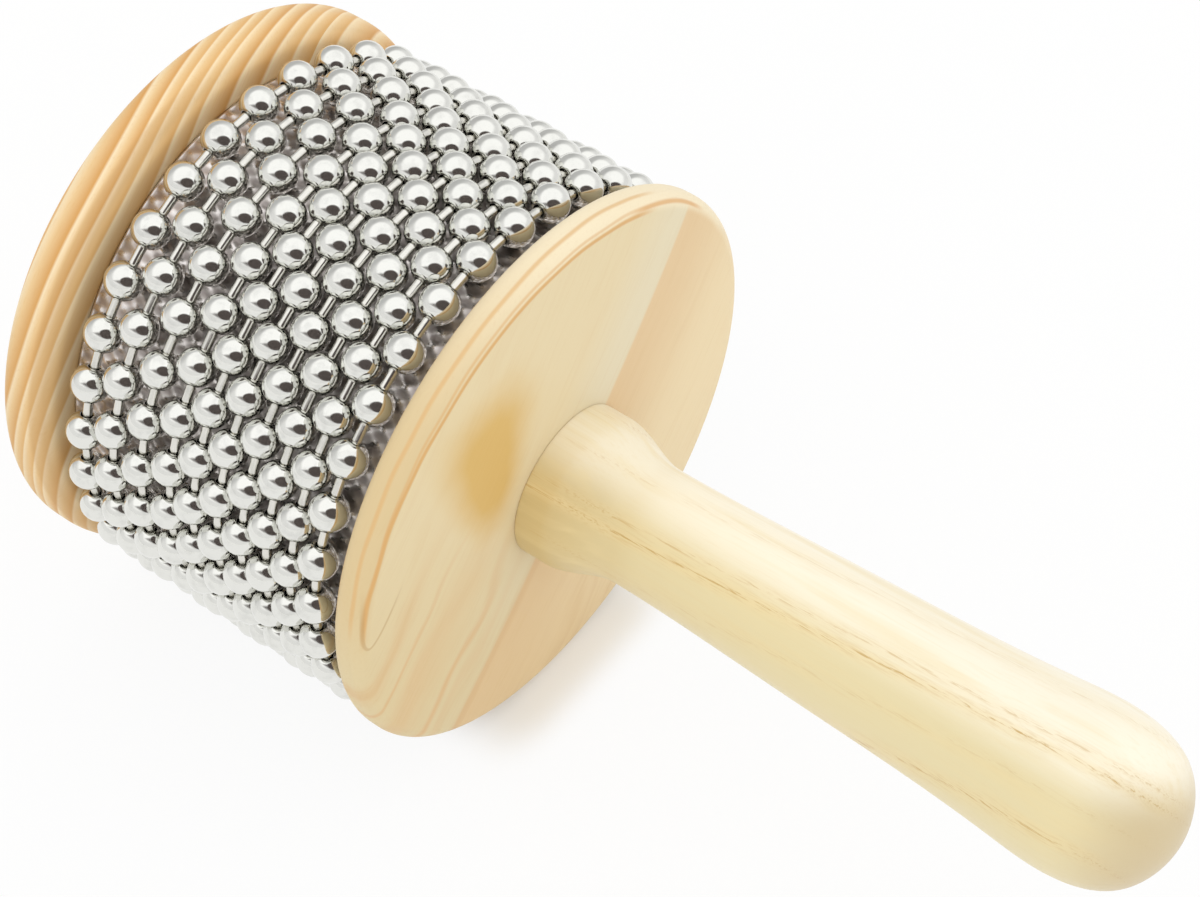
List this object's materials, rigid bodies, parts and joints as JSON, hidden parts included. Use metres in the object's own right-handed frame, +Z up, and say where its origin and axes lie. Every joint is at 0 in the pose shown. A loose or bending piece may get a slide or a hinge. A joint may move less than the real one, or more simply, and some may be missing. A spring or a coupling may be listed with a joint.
{
  "type": "cabasa",
  "caption": "Hand percussion cabasa: loops of bright ball chain turn round an embossed steel drum between two rounded pine discs, on a turned wooden handle.",
  "frame": {"origin": "centre of the far disc's outer face, on the drum's axis", "axes": "+X along the drum's axis from the far disc towards the handle, +Z up as the instrument lies on its side, +Y completes the right hand"},
  "size_m": [0.1962, 0.1028, 0.1028],
  "materials": {
    "handle_wood": "smooth turned pale hardwood, satin lacquer",
    "disc_wood": "turned pine, satin lacquer",
    "core_wood": "bare turned softwood",
    "dowel_wood": "bare beech dowel",
    "sheet_steel": "bright embossed steel sheet",
    "tack_steel": "bright steel",
    "bead_metal": "polished nickel plate",
    "rod_metal": "polished nickel plate"
  },
  "bodies": {
    "instrument": {"handle": "handle_wood", "near_disc": "disc_wood", "far_disc": "disc_wood", "drum_core": "core_wood", "drum_sleeve": "sheet_steel", "near_dowel_1": "dowel_wood", "near_dowel_2": "dowel_wood", "far_dowel_1": "dowel_wood", "far_dowel_2": "dowel_wood", "seam_tack_1": "tack_steel", "seam_tack_2": "tack_steel", "seam_tack_3": "tack_steel", "seam_tack_4": "tack_steel"},
    "chain_1": {"chain_1_beads": "bead_metal", "chain_1_links": "rod_metal"},
    "chain_2": {"chain_2_beads": "bead_metal", "chain_2_links": "rod_metal"},
    "chain_3": {"chain_3_beads": "bead_metal", "chain_3_links": "rod_metal"},
    "chain_4": {"chain_4_beads": "bead_metal", "chain_4_links": "rod_metal"},
    "chain_5": {"chain_5_beads": "bead_metal", "chain_5_links": "rod_metal"},
    "chain_6": {"chain_6_beads": "bead_metal", "chain_6_links": "rod_metal"},
    "chain_7": {"chain_7_beads": "bead_metal", "chain_7_links": "rod_metal"},
    "chain_8": {"chain_8_beads": "bead_metal", "chain_8_links": "rod_metal"},
    "chain_9": {"chain_9_beads": "bead_metal", "chain_9_links": "rod_metal"},
    "chain_10": {"chain_10_beads": "bead_metal", "chain_10_links": "rod_metal"}
  },
  "joints": [
    {"name": "chain_1_turn", "type": "hinge", "parent": "instrument", "child": "chain_1", "pos_m": [0, 0, -0.0004], "axis": [1, 0, 0], "continuous": true},
    {"name": "chain_2_turn", "type": "hinge", "parent": "instrument", "child": "chain_2", "pos_m": [0, 0, -0.0004], "axis": [1, 0, 0], "continuous": true},
    {"name": "chain_3_turn", "type": "hinge", "parent": "instrument", "child": "chain_3", "pos_m": [0, 0, -0.0004], "axis": [1, 0, 0], "continuous": true},
    {"name": "chain_4_turn", "type": "hinge", "parent": "instrument", "child": "chain_4", "pos_m": [0, 0, -0.0004], "axis": [1, 0, 0], "continuous": true},
    {"name": "chain_5_turn", "type": "hinge", "parent": "instrument", "child": "chain_5", "pos_m": [0, 0, -0.0004], "axis": [1, 0, 0], "continuous": true},
    {"name": "chain_6_turn", "type": "hinge", "parent": "instrument", "child": "chain_6", "pos_m": [0, 0, -0.0004], "axis": [1, 0, 0], "continuous": true},
    {"name": "chain_7_turn", "type": "hinge", "parent": "instrument", "child": "chain_7", "pos_m": [0, 0, -0.0004], "axis": [1, 0, 0], "continuous": true},
    {"name": "chain_8_turn", "type": "hinge", "parent": "instrument", "child": "chain_8", "pos_m": [0, 0, -0.0004], "axis": [1, 0, 0], "continuous": true},
    {"name": "chain_9_turn", "type": "hinge", "parent": "instrument", "child": "chain_9", "pos_m": [0, 0, -0.0004], "axis": [1, 0, 0], "continuous": true},
    {"name": "chain_10_turn", "type": "hinge", "parent": "instrument", "child": "chain_10", "pos_m": [0, 0, -0.0004], "axis": [1, 0, 0], "continuous": true}
  ],
  "couplings": [
    {"joint": "chain_2_turn", "follows": "chain_1_turn", "ratio": 1},
    {"joint": "chain_3_turn", "follows": "chain_1_turn", "ratio": 1},
    {"joint": "chain_4_turn", "follows": "chain_1_turn", "ratio": 1},
    {"joint": "chain_5_turn", "follows": "chain_1_turn", "ratio": 1},
    {"joint": "chain_6_turn", "follows": "chain_1_turn", "ratio": 1},
    {"joint": "chain_7_turn", "follows": "chain_1_turn", "ratio": 1},
    {"joint": "chain_8_turn", "follows": "chain_1_turn", "ratio": 1},
    {"joint": "chain_9_turn", "follows": "chain_1_turn", "ratio": 1},
    {"joint": "chain_10_turn", "follows": "chain_1_turn", "ratio": 1}
  ]
}
